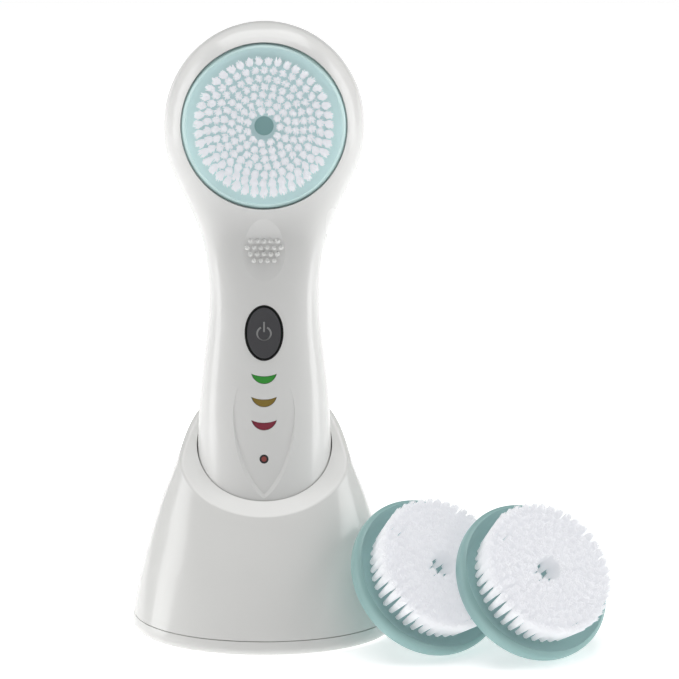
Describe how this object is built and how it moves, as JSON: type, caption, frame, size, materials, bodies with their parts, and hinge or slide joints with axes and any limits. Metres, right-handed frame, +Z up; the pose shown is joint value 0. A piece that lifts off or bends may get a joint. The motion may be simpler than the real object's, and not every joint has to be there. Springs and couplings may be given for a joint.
{
  "type": "facial cleansing brush",
  "caption": "Rechargeable facial cleansing brush with a round spinning bristle head, standing in its charging cradle beside spare brush heads.",
  "frame": {"origin": "middle of the underside of the charging cradle, on its non-slip pad", "axes": "+Z up, +X to the right as seen from the front, and the brush faces -Y"},
  "size_m": [0.1444, 0.1035, 0.1768],
  "materials": {
    "shell_white": "glossy pearl white",
    "base_white": "glossy white",
    "teal_plastic": "semi-gloss teal",
    "teal_disc": "matte",
    "bristle_nylon": "fine filaments",
    "button_grey": "soft gloss",
    "seal_black": "matte",
    "pad_rubber": "matte",
    "led_green": "translucent",
    "led_amber": "translucent",
    "led_red": "translucent",
    "bezel_dark": "gloss",
    "lens_red": "translucent",
    "led_chip": "clear",
    "board_green": "solder mask",
    "switch_black": "matte",
    "inner_plastic": "matte",
    "steel": "brushed",
    "brass": "sintered",
    "copper": "enamelled wire",
    "ferrite": "matte",
    "gear_acetal": "smooth",
    "cell_wrap": "shrink sleeve"
  },
  "bodies": {
    "cradle": {"cradle_shell": "base_white", "cradle_cup": "base_white", "base_plate": "base_white", "non_slip_pad": "pad_rubber", "cradle_screws": "steel", "transmitter_coil": "copper", "transmitter_core": "ferrite", "charger_circuit": "board_green", "dc_inlet": "switch_black"},
    "handle": {"front_shell": "shell_white", "rear_shell": "shell_white", "shell_seal": "seal_black", "shell_screws": "steel", "control_board": "board_green", "tact_switch": "switch_black", "indicator_leds": "led_chip", "led_window_green": "led_green", "led_window_amber": "led_amber", "led_window_red": "led_red", "charge_light_bezel": "bezel_dark", "charge_light_lens": "lens_red", "button_seal": "seal_black", "carrier_tray": "inner_plastic", "battery_cell": "cell_wrap", "battery_contacts": "steel", "motor_mount": "inner_plastic", "gearhead": "steel", "motor_can": "steel", "motor_end_cap": "switch_black", "coil_carrier": "inner_plastic", "receiver_coil": "copper", "receiver_core": "ferrite", "drive_bush": "brass", "shaft_seal": "seal_black", "thrust_washer": "steel"},
    "button": {"power_button": "button_grey"},
    "plunger": {"switch_plunger": "switch_black"},
    "drive": {"crown_gear": "gear_acetal", "output_shaft": "steel"},
    "motor_pinion": {"pinion": "brass", "pinion_shaft": "steel"},
    "brush_head": {"head_dish": "teal_plastic", "head_hub_disc": "teal_disc", "head_bristles": "bristle_nylon"},
    "spare_head_1": {"spare_1_dish": "teal_plastic", "spare_1_hub_disc": "teal_disc", "spare_1_bristles": "bristle_nylon"},
    "spare_head_2": {"spare_2_dish": "teal_plastic", "spare_2_hub_disc": "teal_disc", "spare_2_bristles": "bristle_nylon"}
  },
  "joints": [
    {"name": "handle_lift", "type": "slide", "parent": "cradle", "child": "handle", "axis": [0, 0.2419, 0.9703], "range_m": [0, 0.12]},
    {"name": "button_press", "type": "slide", "parent": "handle", "child": "button", "axis": [0, 0.9703, -0.2419], "range_m": [0, 0.0005], "stiffness_N_per_m": 1500, "springref_m": -0.0004},
    {"name": "plunger_travel", "type": "slide", "parent": "handle", "child": "plunger", "axis": [0, 0.9703, -0.2419], "range_m": [0, 0.0005]},
    {"name": "brush_spin", "type": "hinge", "parent": "handle", "child": "drive", "pos_m": [0, 0.03536, 0.14583], "axis": [0, -0.9703, 0.2419], "continuous": true},
    {"name": "pinion_spin", "type": "hinge", "parent": "handle", "child": "motor_pinion", "pos_m": [0, 0.03818, 0.12967], "axis": [0, 0.2419, 0.9703], "continuous": true},
    {"name": "head_release", "type": "slide", "parent": "drive", "child": "brush_head", "axis": [0, -0.9703, 0.2419], "range_m": [0, 0.03]},
    {"name": "spare_1_take", "type": "slide", "parent": "cradle", "child": "spare_head_1", "axis": [0.2199, 0.7785, 0.5879], "range_m": [0, 0.08]},
    {"name": "spare_2_take", "type": "slide", "parent": "cradle", "child": "spare_head_2", "axis": [0.4601, -0.6142, 0.6412], "range_m": [0, 0.08]}
  ],
  "couplings": [
    {"joint": "plunger_travel", "follows": "button_press", "ratio": 1},
    {"joint": "pinion_spin", "follows": "brush_spin", "ratio": 5}
  ]
}
